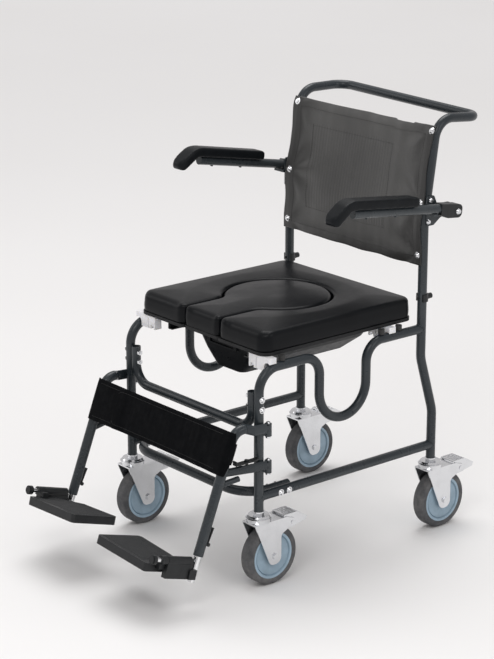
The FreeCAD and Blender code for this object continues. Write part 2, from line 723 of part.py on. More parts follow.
def make_seat():
    """Board and cushion with the keyhole, and the infill that closes it."""
    low = Vector(0, d.front_leg_y, d.seat_board_z)
    top = low + Z * d.board_thick
    cushion_height = "sizes.seat_top_z - sizes.seat_board_z - sizes.board_thick"
    keep("seat_board", pad(seat_outline(1.5), "XY_Plane", "sizes.board_thick", low))
    keep("seat_cushion", pad(seat_outline(0), "XY_Plane", cushion_height, top))
    keep("infill_board", pad(infill_outline(), "XY_Plane", "sizes.board_thick", low))
    keep("infill_cushion", pad(infill_outline(), "XY_Plane", cushion_height, top))


CLIP_Y = (22, 351)


def make_seat_clips():
    """Nylon saddles under the board: two inner legs and a hook that sits over the top rail."""
    clips = []
    low_z = 457
    high = d.seat_board_z - low_z
    for _, side in sides():
        for y in CLIP_Y:
            start = min(side * 157, side * 222)
            block = box(at(start, y, low_z), 65, 18, high)
            rail = cylinder("sizes.tube_od / 2 + 1", 40, at(side * half, y - 10, d.rail_z), Y)
            throat = box(at(side * half - 11, y - 10, d.rail_z - 20), 22, 40, 20)
            arch = cylinder(6, 40, at(side * 166.5, y - 10, low_z + 3), Y)
            gap = box(at(side * 180 - 1, y - 10, low_z - 1), 2, 40, high - 4)
            clips.append(cut(block, fuse([rail, throat, arch, gap])))
    keep("seat_clips", group(clips))


def make_seat_bumpers():
    """Rubber feet under the board that rest on the top rails."""
    bumpers = []
    for _, side in sides():
        for y in (60, 334, 384):
            foot = at(side * half, y, d.rail_z + tube_r + 0.4)
            bumpers.append(cylinder(7, d.seat_board_z - d.rail_z - tube_r - 0.4, foot))
    keep("seat_bumpers", group(bumpers))


RAIL_X = 132


def make_pan_rails():
    """Two channels under the board that carry the rim of the pan."""
    rails = []
    front = 40
    length = 387 - front
    for _, side in sides():
        web = box(at(side * RAIL_X - 1.5, front, 463), 3, length, d.seat_board_z - 463)
        foot = box(at(side * RAIL_X - (12 if side > 0 else 0), front, 463), 12, length, 2.5)
        rails.append(fuse([web, foot]))
    keep("pan_rails", group(rails))


def make_pan():
    """Tapered basin with a rim that slides on the rails, and a pull at its front."""
    def ring(z, half_width, front, rear, radius):
        corners = [at(-half_width, front, z), at(half_width, front, z),
                   at(half_width, rear, z), at(-half_width, rear, z)]
        return Part.Wire([c.toShape() for c in outline(corners, [radius] * 4)])

    wall = d.pan_wall
    outer = Part.makeLoft([ring(d.pan_low_z, 46, d.pan_front_y + 4, 385, 16),
                           ring(d.pan_low_z + 30, 80, d.pan_front_y + 2, 415, 20),
                           ring(d.pan_top_z, 116, d.pan_front_y, d.pan_rear_y, 24)], True, True)
    front = d.pan_front_y + wall
    inner = Part.makeLoft([ring(d.pan_low_z + wall, 46 - wall, front + 4, 385 - wall, 14),
                           ring(d.pan_low_z + 30 + wall, 80 - wall, front + 2, 415 - wall, 18),
                           ring(d.pan_top_z + 4, 118 - wall, front, d.pan_rear_y - wall, 22)], True, True)
    rim_outer = Part.Face(ring(467, 127, d.pan_front_y - 6, d.pan_rear_y + 4, 20)).extrude(Z * 3)
    handle = Part.makeBox(96, 8, 22, at(-48, d.pan_front_y - 14, 448))
    recess = Part.makeBox(76, 5, 12, at(-38, d.pan_front_y - 16, 451))
    shell = outer.fuse([rim_outer, handle]).cut([inner, recess]).removeSplitter()
    keep("commode_pan", feature(shell))


# ---------------------------------------------------------------- footrests
def hanger_axis(side, z):
    """Point of the hanger tube's straight part at a height."""
    tilt = math.radians(d.hanger_tilt)
    y = d.hanger_ref_y - (d.hanger_ref_z - z) * math.tan(tilt)
    return at(side * d.hanger_x, y, z)


def hanger_down():
    tilt = math.radians(d.hanger_tilt)
    return Vector(0, -math.sin(tilt), -math.cos(tilt))


def flat_arm(side, start, radius, eye_z, tall):
    """A tube end pressed flat into a bar that passes outside the leg and ends in an eye."""
    bar_x = side * (half + tube_r + 4.4)
    meet = at(bar_x, -24, eye_z + 2)
    stop = at(bar_x, 8, eye_z)
    eye = at(side * d.pivot_x, d.pivot_y, eye_z)
    upright = Rotation(Z, X, Y, "ZXY")
    sections = [Part.Wire(Part.Circle(Vector(), Z, radius).toShape())]
    sections += [Part.Wire(Part.Ellipse(Vector(), tall / 2, 2.9).toShape()) for _ in range(2)]
    for wire, place in zip(sections, (start, meet, stop)):
        wire.Placement = Placement(place, upright)
    bar = Part.makeLoft(sections, True, True)
    if bar.Volume < 0:
        bar.reverse()
    ring = Part.makeCylinder(d.eye_od / 2, d.eye_high, eye - Z * d.eye_high / 2)
    neck = Part.makeBox(5, 10, 10, at(bar_x - 2.5, 4, eye_z - 5))
    return bar.fuse([ring, neck]).cut(Part.makeCylinder(d.bolt_shank / 2 + 0.05, 40, eye - Z * 20))


def make_hanger(name, side):
    """Leg-rest tube with two flattened arms to the pivot pins and a short hand stub."""
    low = hanger_axis(side, d.hanger_end_z)
    top = hanger_axis(side, d.hanger_top_z)
    rear = top + Vector(side * 2, 24, 1)
    path = route([low, top, rear], [32])
    straight = Part.Wire(Part.LineSegment(low, hanger_axis(side, 300)).toShape())
    lower_start = hanger_axis(side, d.lower_eye_z + 4)
    outer = sweep(path, d.hanger_od)
    arms = [flat_arm(side, rear, d.hanger_od / 2, d.upper_eye_z, 22),
            flat_arm(side, lower_start, 8, d.lower_eye_z, 20)]
    stub_start = hanger_axis(side, 246)
    stub = Part.makeCylinder(6, 48, stub_start, Vector(side * 0.12, 1, 0.12))
    body = outer.fuse(arms + [stub]).cut(sweep(straight, d.hanger_bore)).removeSplitter()
    keep("hanger_" + name, feature(body))


def make_latch_lever(name, side):
    """Spring catch on top of the lower arm."""
    centre = at(side * 227, -42, d.lower_eye_z + 17)
    corners = [Vector(-6, -30, 0), Vector(7, -26, 0), Vector(7, 20, 0), Vector(2, 32, 0), Vector(-6, 30, 0)]
    plate = pad(outline(corners, [3, 3, 4, 2, 3]), "XY_Plane", 3, centre)
    tab = box(centre + Vector(-6, -31, 0), 12, 3, 9)
    screw = cylinder(4.5, 3, centre + Z * 3)
    boss = cylinder(3.5, 4, centre - Z * 4)
    keep("latch_lever_" + name, fuse([plate, tab, screw, boss]))


def drop_of(side):
    return d.left_drop if side > 0 else 0


def foot_axes(side):
    """Hinge line of a footplate: its point at the front of the bracket, and its toe and up directions."""
    toe = math.radians(d.toe_deg)
    forward = Vector(0, -math.cos(toe), math.sin(toe))
    up = Vector(0, math.sin(toe), math.cos(toe))
    start = at(side * 219, -235, 135.8) + hanger_down() * drop_of(side)
    return start, forward, up


def in_foot(shape, side, roll=0):
    """Moves a shape drawn with x outboard, y to the toe and z up to a footrest of either side."""
    start, forward, up = foot_axes(side)
    turn = math.radians(roll)
    across = up * side * math.sin(turn) - X * math.cos(turn)
    rise = across.cross(forward)
    matrix = Matrix(across.x, forward.x, rise.x, start.x, across.y, forward.y, rise.y, start.y,
                    across.z, forward.z, rise.z, start.z, 0, 0, 0, 1)
    own = shape if side < 0 else shape.mirror(Vector(), X)
    return own.transformed(matrix)


def make_footrest_end(name, side):
    """Extension tube with the hinge pin, bracket with the pin's cap, and the footplate."""
    top = hanger_axis(side, d.hanger_end_z + 150) + hanger_down() * drop_of(side)
    low = hanger_axis(side, 72.5) + hanger_down() * drop_of(side)
    extension = Part.makeCylinder(d.extension_od / 2, (low - top).Length, top, hanger_down())
    start, forward, up = foot_axes(side)
    pin = Part.makeCylinder(5, 92, start - forward * 62, forward)
    keep("footrest_extension_" + name, group([feature(extension), feature(pin)]))

    barrel = Part.makeCylinder(9, 62, Vector(0, -62, 0), Y)
    panel = Part.makeBox(13, 66, 34, Vector(-6, -66, -36))
    saddle = Part.makeBox(22, 18, 20, Vector(-11, -76, -36))
    pin_hole = Part.makeCylinder(5.02, 100, Vector(0, -62.5, 0), Y)
    bracket = barrel.fuse([panel, saddle]).cut(pin_hole).removeSplitter()
    bore = Part.makeCylinder(d.extension_od / 2 + 0.02, 260, top, hanger_down())
    bracket = in_foot(bracket, side).cut(bore)
    cap = Part.makeCylinder(9.5, 8, Vector(0, 30.1, 0), Y)
    cap = in_foot(cap.fuse(Part.makeCylinder(8, 1.5, Vector(0, 38.1, 0), Y)), side)
    keep("footrest_bracket_" + name, group([feature(bracket), feature(cap)]))

    top_z = -11
    inner = -10 - d.plate_length
    front = 41
    rear = front - d.plate_depth
    corners = [Vector(-10.5, front, top_z), Vector(inner + 3, front + 3, top_z), Vector(inner, rear, top_z),
               Vector(-60, rear + 4, top_z), Vector(-12, rear + 42, top_z), Vector(-10.5, rear + 50, top_z)]
    face = Part.Face(Part.Wire([c.toShape() for c in outline(corners, [6, 8, 10, 12, 6, 2])]))
    plate = face.extrude(Z * -d.plate_thick)
    knuckle = Part.makeCylinder(9, 14, Vector(0, 1, 0), Y)
    knuckle_foot = Part.makeBox(24, 14, 20, Vector(-24, 1, -20))
    plate = plate.fuse([knuckle, knuckle_foot]).cut(Part.makeCylinder(5.05, 40, Vector(0, -5, 0), Y))
    plate = plate.removeSplitter()
    keep("footplate_" + name, feature(in_foot(plate, side, d.plate_roll)))


def make_height_lever(name, side):
    """Thin clamp lever along the rear of the hanger tube; it turns on a boss at its lower end."""
    down = hanger_down()
    back = X.cross(down)
    foot = hanger_axis(side, 134) + back * (d.hanger_od / 2 + 0.8)
    blade = Part.makeBox(8, 2.6, 36, Vector(-4, 0.4, 0))
    blade.rotate(Vector(), X, -6)
    boss = Part.makeCylinder(4, 9, Vector(-4.5, 4.2, 0), X)
    lever = feature(blade.fuse(boss).removeSplitter())
    lever.Placement = Placement(Matrix(1, 0, 0, foot.x, 0, back.y, -down.y, foot.y,
                                       0, back.z, -down.z, foot.z, 0, 0, 0, 1))
    keep("height_lever_" + name, lever)


def strap_shape(reach, tall, loop_low, loop_high):
    """Band in front of a tube standing on the origin: full height in front, a shorter loop behind it."""
    ring_r = d.hanger_od / 2 + 0.5
    outer_r = ring_r + d.strap_thick
    front = Part.makeBox(4 * outer_r, 2 * outer_r, tall, Vector(-2 * outer_r, -2 * outer_r, 0))
    rear = Part.makeBox(4 * outer_r, 2 * outer_r, loop_high - loop_low, Vector(-2 * outer_r, 0, loop_low))
    tubes = Part.makeCylinder(outer_r, tall).cut(Part.makeCylinder(ring_r, tall))
    run = Part.makeBox(reach, d.strap_thick, tall, Vector(-reach, -outer_r, 0))
    return tubes.common(front).fuse([tubes.common(rear), run]).removeSplitter()


def make_calf_strap():
    """Band between the footrests: the main run belongs to the left one, a short end to the right one."""
    meeting_x = -128
    slope = math.cos(math.radians(d.hanger_tilt))
    tall = (d.strap_high_z - d.strap_low_z) / slope
    loop_low = (290 - d.strap_low_z) / slope
    loop_high = (330 - d.strap_low_z) / slope
    up = hanger_down() * -1
    normal = up.cross(X)
    for node, side, reach in (("calf_strap", 1, d.hanger_x - meeting_x),
                              ("calf_strap_end", -1, d.hanger_x + meeting_x - 1)):
        base = hanger_axis(side, d.strap_low_z)
        shape = strap_shape(reach, tall, loop_low, loop_high)
        own = shape if side > 0 else shape.mirror(Vector(), X)
        matrix = Matrix(1, 0, 0, base.x, 0, normal.y, up.y, base.y, 0, normal.z, up.z, base.z, 0, 0, 0, 1)
        keep(node, feature(own.transformed(matrix)))


# ---------------------------------------------------------------- build and export
def build():
    for name, side in sides():
        make_side_frame(name, side)
        make_lock_pin(name, side)
        make_armrest(name, side)
        make_hanger(name, side)
        make_latch_lever(name, side)
        make_footrest_end(name, side)
        make_height_lever(name, side)
    make_cross_tubes()
    make_fasteners()
    make_pivot_brackets()
    make_post_sleeves()
    keep("caster_stems", group([caster_stem(x, y) for _, x, y in caster_places()]))
    for name, x, y in caster_places():
        make_caster(name, x, y)
    make_back_frame()
    make_back_sling()
    make_sling_screws()
    make_lock_collars()
    make_armrest_brackets()
    make_armrest_bolts()
    make_seat()
    make_seat_clips()
    make_seat_bumpers()
    make_pan_rails()
    make_pan()
    make_calf_strap()


def check():
    """Stops when an object failed or a sub-part has no valid shape."""
    failed = [o.Label for o in doc.Objects if {"Invalid", "Error"} & set(o.State)]
    failed += [n for n, o in parts.items() if o.Shape.isNull() or not o.Shape.isValid() or not o.Shape.Solids]
    if failed:
        raise RuntimeError("failed sub-parts: " + ", ".join(failed))


def export():
    os.makedirs("parts", exist_ok=True)
    whole = FreeCAD.BoundBox()
    for node, obj in sorted(parts.items()):
        obj.Shape.exportStep("parts/%s.step" % node)
        whole.add(obj.Shape.BoundBox)
    print(len(parts), "sub-parts")
    print("box x %.2f %.2f  y %.2f %.2f  z %.2f %.2f" % (whole.XMin, whole.XMax, whole.YMin, whole.YMax,
                                                         whole.ZMin, whole.ZMax))


build()
doc.recompute()
check()
export()
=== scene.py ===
"""Looks of the wheeled commode chair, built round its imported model. Metres, +Z up, -Y to the front."""

import json
import math

import bmesh
import bpy
import numpy as np
from mathutils import Matrix, Vector, geometry, noise


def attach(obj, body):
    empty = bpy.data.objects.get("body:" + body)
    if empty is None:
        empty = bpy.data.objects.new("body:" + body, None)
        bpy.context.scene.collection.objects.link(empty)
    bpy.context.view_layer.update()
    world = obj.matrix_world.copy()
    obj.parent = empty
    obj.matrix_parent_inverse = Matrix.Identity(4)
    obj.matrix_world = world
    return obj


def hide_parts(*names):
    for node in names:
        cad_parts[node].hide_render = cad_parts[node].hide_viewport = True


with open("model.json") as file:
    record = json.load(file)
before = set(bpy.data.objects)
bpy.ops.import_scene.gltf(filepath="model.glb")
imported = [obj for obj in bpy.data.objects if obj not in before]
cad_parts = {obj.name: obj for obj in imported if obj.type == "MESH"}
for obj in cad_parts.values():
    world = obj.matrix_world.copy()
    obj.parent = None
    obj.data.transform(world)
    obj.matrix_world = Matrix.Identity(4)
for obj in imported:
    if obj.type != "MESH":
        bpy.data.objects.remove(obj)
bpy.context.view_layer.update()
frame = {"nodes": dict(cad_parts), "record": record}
nodes = frame["nodes"]
SIDES = (("left", 1), ("right", -1))
LEG_Y = -0.1646
MM = 0.001


def at(x, y, z):
    """Point from millimetres, with y counted from the front legs."""
    return Vector((x * MM, y * MM + LEG_Y, z * MM))


# ------------------------------------------------------------------ materials
class Graph:
    """A procedural material; nodes are added with plain values or other nodes' outputs as inputs."""

    def __init__(self, name, colour, **values):
        self.material = bpy.data.materials.new(name)
        self.material.use_nodes = True
        self.tree = self.material.node_tree
        self.shader = self.tree.nodes["Principled BSDF"]
        self.put(self.shader, {"Base Color": (*colour, 1), **values})
        self.place = self.add("TexCoord").outputs["Object"]

    def put(self, node, values):
        for key, value in values.items():
            socket = node.inputs[key]
            if isinstance(value, bpy.types.NodeSocket):
                self.tree.links.new(value, socket)
            else:
                socket.default_value = value

    def add(self, kind, values=None, **settings):
        node = self.tree.nodes.new("ShaderNode" + kind)
        for key, value in settings.items():
            setattr(node, key, value)
        self.put(node, values or {})
        return node

    def stretch(self, scale):
        """Coordinates scaled differently along x, y and z."""
        return self.add("Mapping", {"Vector": self.place, "Scale": scale}).outputs["Vector"]

    def noise(self, scale, detail=3, rough=0.55, place=None):
        values = {"Vector": place or self.place, "Scale": scale, "Detail": detail, "Roughness": rough}
        return self.add("TexNoise", values).outputs["Fac"]

    def cells(self, scale, feature="F1"):
        values = {"Vector": self.place, "Scale": scale}
        return self.add("TexVoronoi", values, feature=feature).outputs["Distance"]

    def range(self, fac, low, high, start=0.3, end=0.7):
        """A value that runs from low to high while fac runs from start to end."""
        values = {"Value": fac, "From Min": start, "From Max": end, "To Min": low, "To Max": high}
        return self.add("MapRange", values).outputs["Result"]

    def mix(self, fac, one, two):
        node = self.add("Mix", {0: fac, 6: one, 7: two}, data_type="RGBA")
        return node.outputs[2]

    def maths(self, operation, one, two):
        return self.add("Math", {0: one, 1: two}, operation=operation).outputs[0]

    def colours(self, fac, one, two, start=0.3, end=0.7):
        """Base colour that varies between two colours."""
        colour = self.mix(self.range(fac, 0, 1, start, end), (*one, 1), (*two, 1))
        self.put(self.shader, {"Base Color": colour})
        return colour

    def wear(self, colour, worn, amount):
        """Sharp edges turn to the worn colour."""
        edge = self.add("NewGeometry").outputs["Pointiness"]
        fac = self.maths("MULTIPLY", self.range(edge, 0, amount, 0.53, 0.6), self.noise(160, 4))
        self.put(self.shader, {"Base Color": self.mix(fac, colour, (*worn, 1))})

    def rough(self, fac, low, high):
        self.put(self.shader, {"Roughness": self.range(fac, low, high)})

    def bump(self, height, distance, strength=1.0, below=None):
        values = {"Height": height, "Distance": distance, "Strength": strength}
        if below:
            values["Normal"] = below
        normal = self.add("Bump", values).outputs["Normal"]
        self.put(self.shader, {"Normal": normal})
        return normal

    def threads(self, scale, directions):
        """Crossed fine bands, as warp and weft."""
        bands = [self.add("TexWave", {"Vector": self.place, "Scale": scale, "Distortion": 0.6,
                                      "Detail Scale": 3.0}, bands_direction=way).outputs["Fac"]
                 for way in directions]
        return self.maths("MULTIPLY", bands[0], bands[1])


def make_paint():
    g = Graph("frame paint", (0.02, 0.026, 0.031), **{"Specular IOR Level": 0.42})
    broad = g.noise(9, 4)
    colour = g.colours(broad, (0.017, 0.0225, 0.027), (0.024, 0.031, 0.037))
    g.wear(colour, (0.07, 0.08, 0.085), 0.5)
    g.rough(g.noise(45, 5), 0.24, 0.34)
    g.bump(g.noise(650, 2), 0.00012, 0.5)
    return g.material


def make_metal(name, colour, rough, spots, depth):
    g = Graph(name, colour, Metallic=1.0)
    dark = tuple(0.9 * c for c in colour)
    g.colours(g.noise(spots, 5), dark, colour, 0.25, 0.6)
    g.rough(g.noise(spots * 1.7, 4), *rough)
    g.bump(g.noise(420, 3), depth, 0.5)
    return g.material


def make_plastic(name, colour, rough, grain=900, depth=0.00008, **values):
    g = Graph(name, colour, **values)
    lighter = tuple(min(1, 1.18 * c + 0.002) for c in colour)
    darker = tuple(0.86 * c for c in colour)
    base = g.colours(g.noise(30, 5), darker, lighter)
    g.wear(base, tuple(min(1, c * 1.5 + 0.02) for c in colour), 0.45)
    g.rough(g.noise(70, 5), *rough)
    under = g.bump(g.cells(grain), depth, 0.45)
    g.bump(g.noise(grain / 9, 3), depth * 2, 0.35, under)
    return g.material


def make_tyre():
    g = Graph("tyre rubber", (0.05, 0.051, 0.054), **{"Specular IOR Level": 0.3})
    dusty = g.maths("MULTIPLY", g.noise(55, 6, 0.7), g.noise(12, 3))
    g.colours(dusty, (0.07, 0.072, 0.077), (0.19, 0.187, 0.185), 0.18, 0.5)
    g.rough(g.noise(80, 4), 0.62, 0.85)
    under = g.bump(g.noise(900, 4, 0.7), 0.00025, 0.6)
    g.bump(g.cells(240), 0.0002, 0.3, under)
    return g.material


def make_sling_vinyl():
    g = Graph("sling vinyl", (0.034, 0.034, 0.032), **{"Sheen Weight": 0.12, "Sheen Roughness": 0.4})
    clouds = g.noise(1, 4, 0.55, g.stretch((11, 11, 6)))
    tone = g.colours(clouds, (0.052, 0.052, 0.051), (0.078, 0.078, 0.076), 0.3, 0.7)
    middle = g.add("SeparateXYZ", {"Vector": g.place})
    # Painted shade: the base colour is darkened towards the sling's side edges and its lower hem
    side_shade = g.range(g.maths("ABSOLUTE", middle.outputs["X"], 0.0), 0, 1, 0.15, 0.215)
    low_shade = g.range(middle.outputs["Z"], 1, 0, 0.606, 0.64)
    painted_edge_shade = g.maths("MULTIPLY", g.maths("MAXIMUM", side_shade, low_shade), 0.75)
    g.put(g.shader, {"Base Color": g.mix(painted_edge_shade, tone, (0.010, 0.010, 0.010, 1))})
    g.rough(g.noise(60, 5), 0.32, 0.44)
    under = g.bump(g.threads(210, "XZ"), 0.0002, 0.4)
    creases = g.bump(g.noise(1, 4, 0.5, g.stretch((26, 26, 7))), 0.0014, 0.4, under)
    g.bump(g.noise(320, 4), 0.00015, 0.35, creases)
    return g.material


def make_seat_vinyl():
    g = Graph("seat vinyl", (0.005, 0.006, 0.0075), **{"Specular IOR Level": 0.14})
    g.colours(g.noise(14, 5), (0.0024, 0.003, 0.004), (0.0044, 0.0052, 0.0066))
    g.rough(g.noise(38, 6, 0.65), 0.29, 0.35)
    pores = g.bump(g.cells(760, "DISTANCE_TO_EDGE"), 0.00012, 0.4)
    g.bump(g.noise(90, 5, 0.6), 0.0002, 0.2, pores)
    return g.material


def make_strap_fabric():
    g = Graph("strap fabric", (0.0025, 0.003, 0.0038), **{"Specular IOR Level": 0.06})
    g.colours(g.noise(120, 5), (0.0018, 0.0021, 0.0028), (0.0036, 0.004, 0.005))
    g.rough(g.noise(50, 4), 0.6, 0.8)
    under = g.bump(g.threads(260, "XZ"), 0.0003, 0.5)
    g.bump(g.noise(40, 4), 0.0010, 0.3, under)
    return g.material


def make_floor_paper():
    g = Graph("studio paper", (0.83, 0.825, 0.82))
    g.colours(g.noise(0.35, 2), (0.82, 0.815, 0.81), (0.845, 0.842, 0.84))
    g.rough(g.noise(3, 3), 0.75, 0.9)
    return g.material


MATERIALS = {
    "frame_paint": make_paint(),
    "zinc": make_metal("bright zinc", (0.76, 0.77, 0.79), (0.12, 0.24), 40, 0.00005),
    "chrome": make_metal("polished chrome", (0.86, 0.87, 0.88), (0.06, 0.16), 18, 0.00003),
    "hub_plastic": make_plastic("hub nylon", (0.28, 0.38, 0.46), (0.34, 0.46),
                                **{"Specular IOR Level": 0.4}),
    "tyre_rubber": make_tyre(),
    "sling_vinyl": make_sling_vinyl(),
    "seat_vinyl": make_seat_vinyl(),
    "board_plastic": make_plastic("board plastic", (0.006, 0.0065, 0.0075), (0.45, 0.6), 600,
                                  **{"Specular IOR Level": 0.25}),
    "black_plastic": make_plastic("black nylon", (0.008, 0.0092, 0.0105), (0.36, 0.5), 700, 0.0001,
                                  **{"Specular IOR Level": 0.36}),
    "pad_foam": make_plastic("pad skin", (0.0044, 0.0058, 0.0074), (0.32, 0.44), 520, 0.0001,
                             **{"Specular IOR Level": 0.15}),
    "clip_nylon": make_plastic("clip nylon", (0.74, 0.74, 0.76), (0.3, 0.42), 500, 0.00006,
                               **{"Subsurface Weight": 0.3, "Subsurface Scale": 0.003,
                                  "Subsurface Radius": (0.8, 0.85, 1.0)}),
    "pan_plastic": make_plastic("pan polypropylene", (0.0035, 0.0045, 0.006), (0.26, 0.4), 800, 0.00005,
                                **{"Specular IOR Level": 0.09}),
    "strap_fabric": make_strap_fabric(),
    "rubber": make_plastic("black rubber", (0.018, 0.018, 0.018), (0.6, 0.75), 700, 0.0002),
}
THREAD = make_plastic("sewing thread", (0.028, 0.028, 0.028), (0.6, 0.8), 1500, 0.0001)


def wear_material(obj, name):
    obj.data.materials.clear()
    obj.data.materials.append(MATERIALS[name])


for part in frame["record"]["subparts"]:
    wear_material(nodes[part["node"]], part["material_slot"])


# ------------------------------------------------------------------ mesh helpers
def ease(value, start, end):
    """0 before start, 1 after end, and smooth between them."""
    t = min(1.0, max(0.0, (value - start) / (end - start)))
    return t * t * (3 - 2 * t)


def new_piece(name, vertices, faces, slot, body, smooth=True):
    """A mesh object with a slot's finish that rides on a body."""
    mesh = bpy.data.meshes.new(name)
    mesh.from_pydata([tuple(v) for v in vertices], [], faces)
    work = bmesh.new()
    work.from_mesh(mesh)
    bmesh.ops.recalc_face_normals(work, faces=work.faces)
    work.to_mesh(mesh)
    work.free()
    for polygon in mesh.polygons:
        polygon.use_smooth = smooth
    piece = bpy.data.objects.new(name, mesh)
    bpy.context.scene.collection.objects.link(piece)
    wear_material(piece, slot)
    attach(piece, body)
    return piece


def apply_modifiers(piece):
    """Turns what the modifiers make into the piece's own mesh."""
    graph = bpy.context.evaluated_depsgraph_get()
    made = bpy.data.meshes.new_from_object(piece.evaluated_get(graph), depsgraph=graph)
    piece.modifiers.clear()
    piece.data = made
    for polygon in made.polygons:
        polygon.use_smooth = True


def grid_faces(rows, columns, first=0, closed=False):
    """Quads of a grid whose vertices are stored row by row."""
    faces = []
    for i in range(rows - 1):
        for j in range(columns - (0 if closed else 1)):
            k = (j + 1) % columns
            faces.append((first + i * columns + j, first + i * columns + k,
                          first + (i + 1) * columns + k, first + (i + 1) * columns + j))
    return faces


def sheet_solid(name, rows, columns, point, normal, thickness, slot, body):
    """A closed sheet over a grid of unit coordinates: point and normal are functions of (u, v)."""
    front, back = [], []
    for i in range(rows):
        for j in range(columns):
            u, v = j / (columns - 1), i / (rows - 1)
            p, n = point(u, v), normal(u, v)
            half = thickness(u, v) / 2
            front.append(p + n * half)
            back.append(p - n * half)
    count = rows * columns
    faces = grid_faces(rows, columns)
    faces += [tuple(k + count for k in reversed(f)) for f in grid_faces(rows, columns)]
    rim = [j for j in range(columns)]
    rim += [i * columns + columns - 1 for i in range(1, rows)]
    rim += [(rows - 1) * columns + j for j in range(columns - 2, -1, -1)]
    rim += [i * columns for i in range(rows - 2, 0, -1)]
    for a, b in zip(rim, rim[1:] + rim[:1]):
        faces.append((a, b, b + count, a + count))
    return new_piece(name, front + back, faces, slot, body)


def stitches(name, runs, body, length=0.0032, pitch=0.0046, radius=0.00036):
    """Sewing thread: short raised stitches along runs of (points, normal) in space."""
    vertices, faces = [], []
    for points, normal in runs:
        carried = 0.0
        for a, b in zip(points, points[1:]):
            span = (b - a).length
            along = (b - a).normalized()
            across = along.cross(normal).normalized()
            while carried < span:
                start = a + along * carried
                base = len(vertices)
                for t, lift, wide in ((0, -0.3, 0.5), (0.25, 0.7, 1), (0.75, 0.7, 1), (1, -0.3, 0.5)):
                    centre = start + along * (t * length) + normal * (lift * radius)
                    for turn in range(6):
                        angle = turn * math.tau / 6
                        vertices.append(centre + (across * math.cos(angle) + normal * math.sin(angle))
                                        * radius * wide)
                faces += grid_faces(4, 6, base, closed=True)
                faces += [tuple(range(base + 5, base - 1, -1)), tuple(range(base + 18, base + 24))]
                carried += pitch
            carried -= span
    piece = new_piece(name, vertices, faces, "black_plastic", body)
    piece.data.materials[0] = THREAD
    return piece


def rounded(corners, step=4.0):
    """Closed plan outline in mm from (x, y, radius) corners, its arcs and runs divided."""
    outline = []
    count = len(corners)
    for i in range(count):
        before, here, after = (Vector(corners[(i + k) % count][:2]) for k in (-1, 0, 1))
        radius = corners[i][2]
        d1, d2 = (before - here).normalized(), (after - here).normalized()
        if radius <= 0:
            outline.append(here)
            continue
        half = d1.angle(d2) / 2
        reach = radius / math.tan(half)
        centre = here + (d1 + d2).normalized() * (radius / math.sin(half))
        start, end = here + d1 * reach - centre, here + d2 * reach - centre
        turn = start.angle_signed(end)
        pieces = max(2, int(abs(turn) * radius / step) + 1)
        for k in range(pieces + 1):
            angle = -turn * k / pieces
            outline.append(centre + Matrix.Rotation(angle, 2) @ start)
    dense = []
    for a, b in zip(outline, outline[1:] + outline[:1]):
        pieces = max(1, round((b - a).length / step))
        dense += [a.lerp(b, k / pieces) for k in range(pieces)]
    return dense


# ------------------------------------------------------------------ seat
SEAT_HALF, SEAT_FRONT, SEAT_REAR = 206, 21, 433
HOLE_Y, HOLE_R, NECK, MOUTH_R = 232, 117.5, 58, 38
CUSHION_LOW, RIDGE = 493.2, 534.5
FLARE_STEPS, HOLE_STEPS = 10, 60
SEAT_CORNER, SEAT_GAP = 24, -0.9
INFILL_GAP = 2.8
EDGE_ANGLES = (12, 26, 40, 54, 68, 80, 90)
WALL_LEVELS = (0.85, 0.65, 0.45, 0.25, 0.1, 0.03, 0.0)
SEAT_GRID = 6.0


def keyhole_curve(gap):
    """The keyhole from its left mouth round the rear to the right one, with a flared neck."""
    mouth_y = HOLE_Y - math.sqrt((HOLE_R + MOUTH_R) ** 2 - (NECK + MOUTH_R) ** 2)
    mouth = Vector((NECK + MOUTH_R, mouth_y))
    reach = math.atan2(HOLE_Y - mouth.y, mouth.x)
    flare = [math.pi - reach * k / FLARE_STEPS for k in range(FLARE_STEPS)]
    ease_in = [mouth + Vector((math.cos(t), math.sin(t))) * (MOUTH_R + gap) for t in flare]
    angle = math.pi / 2 - reach
    turns = [angle + (math.tau - 2 * angle) * k / HOLE_STEPS for k in range(HOLE_STEPS + 1)]
    arc = [Vector((math.sin(t), -math.cos(t))) * (HOLE_R - gap) + Vector((0, HOLE_Y)) for t in turns]
    return ease_in + arc + [Vector((-p.x, p.y)) for p in reversed(ease_in)]


def seat_plan():
    w, f, r, c = SEAT_HALF, SEAT_FRONT, SEAT_REAR, SEAT_CORNER
    corners = [(NECK, f, 17), (w, f, c), (w, r, c), (-w, r, c), (-w, f, c), (-NECK, f, 17)]
    return rounded(corners + [(p.x, p.y, 0) for p in reversed(keyhole_curve(SEAT_GAP))])


def infill_plan():
    corners = [(p.x, p.y, 0) for p in keyhole_curve(INFILL_GAP)]
    mouth, front = NECK - INFILL_GAP, SEAT_FRONT + 2
    return rounded([(mouth, front, 10)] + corners + [(-mouth, front, 10)])


def edge_distance(points, loop):
    """Distance of plan points to a closed outline, and the nearest segment of each."""
    p = np.array(points)[:, None, :]
    a = np.array(loop)[None, :, :]
    d = np.roll(a, -1, axis=1) - a
    t = np.clip(((p - a) * d).sum(2) / (d * d).sum(2), 0, 1)
    gaps = np.linalg.norm(p - a - d * t[..., None], axis=2)
    return gaps.min(1), gaps.argmin(1)


def inside(point, loop):
    """Whether a plan point is inside a closed outline."""
    x, y = point
    odd = False
    for (x1, y1), (x2, y2) in zip(loop, loop[1:] + loop[:1]):
        if (y1 > y) != (y2 > y) and x < (x2 - x1) * (y - y1) / (y2 - y1) + x1:
            odd = not odd
    return odd


